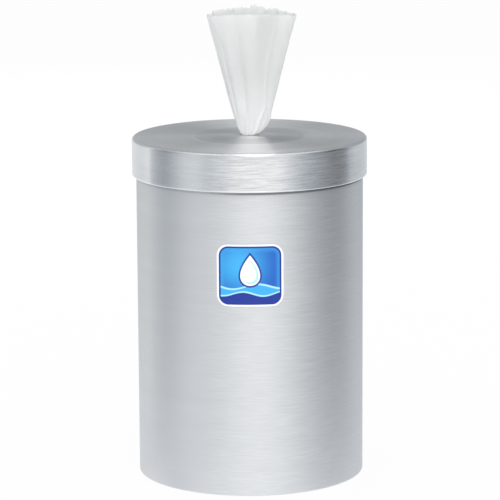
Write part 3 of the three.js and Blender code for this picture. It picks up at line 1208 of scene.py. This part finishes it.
# The free edge stands out by curl + more curl * bell, whose place and half width are millimetres.
CURL = 0.3
MORE_CURL = 0.5
MORE_CURL_PLACE = (17, 9)
BACK_TURN = (-0.2, 0.8)
FRONT_WAVE = 0.05
WAVE_HEIGHT = 1.0 * MM
CRUMPLE = ((7, 13, 22), 0.3 * MM)
CRUMPLE_SLANT = 0.25
BACK_CRUMPLE = 2.5


def layers(angle, edge, rise):
    """Layer step * (curl - inside): the covered end lies inside, and the free edge curls out."""
    inside = 1 - smooth(angle - edge, *INNER_END)
    size = CURL + MORE_CURL * bell(rise / MM, *MORE_CURL_PLACE)
    curl = size * np.exp(-((edge + 360 - angle) / CURL_WIDTH) ** 2) * smooth(rise, 0, CURL_RISE)
    return LAYER_STEP * (curl - inside)


def soft_waves(angle, share, along, rng):
    """cos(5 a + 1.1) + 0.7 cos(9 a + 2), strong at the back, and a crumple that grows upwards."""
    turn = np.radians(angle)
    back = smooth(np.sin(turn), *BACK_TURN)
    wave = np.cos(5 * turn + 1.1) + 0.7 * np.cos(9 * turn + 2)
    wave = share * (FRONT_WAVE + (1 - FRONT_WAVE) * back) * WAVE_HEIGHT * wave
    crumple = ragged(along + CRUMPLE_SLANT * share, rng, *CRUMPLE) * share
    return wave + crumple * (1 + BACK_CRUMPLE * back * smooth(share, 0.8, 1.0))


print(f"layers {LAYER_STEP / MM:.1f} mm apart")

# %% Wipe
WIPE_COLUMNS = 330
STRAND_ROWS = 40
GATHER_ROWS = 104
ROW_POWER = 1.3
WIPE_SEED = 11
WIPE_THICKNESS = 0.35 * MM
# The free edge's angle in degrees at heights above the lid in millimetres.
EDGE_RISES = [0, 5, 13, 19, 25, 42, 60, 85, 111]
EDGE_ANGLES = [-62, -61, -67, -58, -50, -56, -60, -56, -52]
# Degrees that the cloth lies double at the neck, and how many more at the rim.
NECK_OVERLAP = 12
MORE_OVERLAP = 20


def wipe_points():
    """Rows by columns by 3. With a the angle and h the height of a point:

    x = middle + (half width * folds + out) * cos a, y = (half depth * folds + out) * sin a and
    z = h + lift of the rim, where out holds the layers, the relief and the waves.
    """
    rng = np.random.default_rng(WIPE_SEED)
    strand = np.linspace(wipe_low[2], boss_top, STRAND_ROWS, endpoint=False)
    gather = boss_top + WIPE_RISE * np.linspace(0, 1, GATHER_ROWS) ** ROW_POWER
    height = np.concatenate([strand, gather])[:, None]
    rise = height - boss_top
    share = np.clip(rise / WIPE_RISE, 0, 1)
    along = np.linspace(0, 1, WIPE_COLUMNS)[None, :]
    edge = np.interp(rise / MM, EDGE_RISES, EDGE_ANGLES)
    overlap = NECK_OVERLAP + MORE_OVERLAP * share
    angle = edge - overlap + (360 + overlap) * along

    waves = soft_waves(angle, share, along, rng)
    lift = rim_lift(angle, share, along, rng)
    out = layers(angle, edge, rise) + front_relief(angle, rise) + waves
    folds = fold_share(angle, rise)
    half_width, half_depth = gather_size(rise)
    turn = np.radians(angle)
    return np.stack([
        gather_middle(height) + (half_width * folds + out) * np.cos(turn),
        (half_depth * folds + out) * np.sin(turn),
        height + lift,
    ], axis=-1)


def wipe():
    """The sheet, with its thickness put on inwards by a Solidify modifier."""
    points = wipe_points()
    piece = grid_mesh("wipe", points, False, False, wipe_cloth)
    thick = piece.modifiers.new("cloth_thickness", "SOLIDIFY")
    thick.thickness = WIPE_THICKNESS
    thick.offset = -1
    widths = np.linalg.norm(np.diff(points, axis=1), axis=2).sum(axis=1) / MM
    lengths = np.linalg.norm(np.diff(points, axis=0), axis=2).sum(axis=0) / MM
    print(f"wipe: {widths.min():.0f} to {widths.max():.0f} mm round, {lengths.mean():.0f} mm long")
    return piece


wipe_piece = wipe()
stand_for(wipe_piece, "wipe_sheet", "wipe")

# %% [markdown]
# ## Sticker
#
# A printed film is glued to the front. It is a rounded square of thin plastic that follows the
# tube. The outline is shrunk towards the middle to give the rings of the face, and the same rings
# a little further in give the back. Across the film, x is the arc length round the tube.

# %% Sticker
LABEL_CORNER = 10.0 * MM
LABEL_RINGS = 24
LABEL_EDGE = 0.12 * MM
LABEL_FILM = 0.5 * MM

label_middle = (label_low[2] + label_high[2]) / 2
label_half_width = label_high[0]
label_half_height = (label_high[2] - label_low[2]) / 2


def sticker(material):
    """Rings of the outline: x = r sin(arc / face), y = -r cos(arc / face), r of face or back."""
    face = -label_low[1]
    back = face - LABEL_FILM
    arc_half_width = face * math.asin(label_half_width / face)
    outline = rounded_outline([
        (side * arc_half_width, up * label_half_height, LABEL_CORNER)
        for side, up in ((-1, -1), (1, -1), (1, 1), (-1, 1))
    ], longest=1.5 * MM)
    shrink = (1 - LABEL_EDGE / label_half_width) * np.linspace(0, 1, LABEL_RINGS)
    scale = np.concatenate([shrink, [1, 1], shrink[::-1]])
    radius = np.concatenate([
        np.full(LABEL_RINGS, face), [face - LABEL_EDGE, back + LABEL_EDGE],
        np.full(LABEL_RINGS, back),
    ])[:, None]
    flat = scale[:, None, None] * outline
    turn = flat[..., 0] / face
    points = np.stack([
        radius * np.sin(turn), -radius * np.cos(turn), label_middle + flat[..., 1],
    ], axis=-1)
    return grid_mesh("front_sticker", points[::-1], False, True, material)


print(f"sticker {2 * label_half_width / MM:.0f} mm wide, {2 * label_half_height / MM:.0f} mm high")

# %% [markdown]
# The print is a plain one: a white border, a deep blue ring, a field that goes from light to dark
# blue, two waves and a drop of water. Each motif is a mask worked out in millimetres on the film,
# with an edge that is soft over 0.2 mm to either side, as in printing. Later masks cover earlier
# ones.

# %% Inks and shapes of the print
INK_EDGE = 0.2
BORDER = 1.7
RING = 1.6
GLOW_ARC = -9.0
GLOW_UP = 9.0
GLOW_REACH = (2.0, 34.0)
RIM_GLOW_WIDTH = 5.0
RIM_GLOW = 0.5

WHITE_INK = (0.93, 0.94, 0.95, 1)
NAVY_INK = (0.010, 0.035, 0.30, 1)
BLUE_INK = (0.012, 0.12, 0.52, 1)
SKY_INK = (0.05, 0.42, 0.82, 1)
PALE_INK = (0.42, 0.78, 0.93, 1)

# In millimetres: the level, swing and length of each wave, with its phase, and the shift, radius,
# foot and height of each drop.
WAVES = [
    (-9.0, 2.2, 44.0, 0.6, PALE_INK),
    (-10.6, 2.2, 44.0, 0.7, SKY_INK),
    (-15.5, 1.9, 36.0, 2.6, PALE_INK),
    (-16.9, 1.9, 36.0, 2.7, NAVY_INK),
]
DROPS = [
    (0.0, 10.0, -10.5, 31.0, NAVY_INK),
    (0.0, 8.6, -9.0, 27.0, WHITE_INK),
    (0.6, 6.6, -7.4, 21.0, PALE_INK),
    (-0.5, 5.9, -5.8, 19.4, WHITE_INK),
]
print(f"{len(WAVES)} wave shapes and {len(DROPS)} drop shapes")

# %% Masks of the print
# The highest value of (1 - q) * sqrt(q) is 1 / 2.6.
DROP_WIDTH = 2.6


def rounded_square_distance(tree, x, z, half_width, half_height, corner):
    """Distance to the edge in millimetres, negative inside: length of the part past the corner
    centres, plus the larger overhang where both are negative, minus the corner's radius."""
    across = tree.math("ABSOLUTE", x) - (half_width - corner)
    up = tree.math("ABSOLUTE", z) - (half_height - corner)
    past_x, past_z = tree.most(across, 0.0), tree.most(up, 0.0)
    outside = tree.math("SQRT", past_x * past_x + past_z * past_z)
    return outside + tree.least(tree.most(across, up), 0.0) - corner


def drop_mask(tree, x, z, radius, foot_height, height):
    """Inside of a drop whose half width is 2.6 * radius * (1 - q) * sqrt(q), q from foot to tip."""
    q = (z - foot_height) / height
    half = DROP_WIDTH * radius * (1 - q) * tree.math("SQRT", tree.most(q, 0.0))
    below = tree.least(q, 0.0) * height
    return tree.step(half + below - tree.math("ABSOLUTE", x), -INK_EDGE, INK_EDGE)


def wave_mask(tree, x, z, level, swing, length, phase):
    """Below a wave: z < level + swing * sin(2 pi x / length + phase)."""
    crest = level + swing * tree.math("SINE", x * (2 * math.pi / length) + phase)
    return tree.step(crest - z, -INK_EDGE, INK_EDGE)


# %% Printed film
def printed_film():
    """The masks of the print, laid over each other on arc length and height."""
    material, tree = principled("printed_film", Roughness=0.34, Specular_IOR_Level=0.4)
    x, y, z = tree.xyz(tree.node("ShaderNodeTexCoord", output="Object"))
    arc = tree.math("ARCTAN2", x, 0 - y) * (body_radius / MM)
    up = (z - label_middle) / MM
    half_width, half_height = label_half_width / MM, label_half_height / MM
    corner = LABEL_CORNER / MM
    edge = rounded_square_distance(tree, arc, up, half_width, half_height, corner)
    field_edge = -BORDER - RING

    glow = tree.math("SQRT", (arc - GLOW_ARC) ** 2.0 + (up - GLOW_UP) ** 2.0)
    colour = tree.mix(tree.step(glow, *GLOW_REACH), SKY_INK, BLUE_INK)
    rim_glow = tree.step(edge, field_edge - RIM_GLOW_WIDTH, field_edge)
    colour = tree.mix(rim_glow * RIM_GLOW, colour, SKY_INK)
    for level, swing, length, phase, ink in WAVES:
        colour = tree.mix(wave_mask(tree, arc, up, level, swing, length, phase), colour, ink)
    for shift, radius, foot_height, height, ink in DROPS:
        drop = drop_mask(tree, arc - shift, up, radius, foot_height, height)
        colour = tree.mix(drop, colour, ink)
    for place, ink in ((field_edge, NAVY_INK), (-BORDER, WHITE_INK)):
        colour = tree.mix(tree.step(edge, place - INK_EDGE, place + INK_EDGE), colour, ink)
    tree.feed({"Base Color": colour})
    return material


stand_for(sticker(printed_film()), "front_label", "canister")
print("sticker printed")
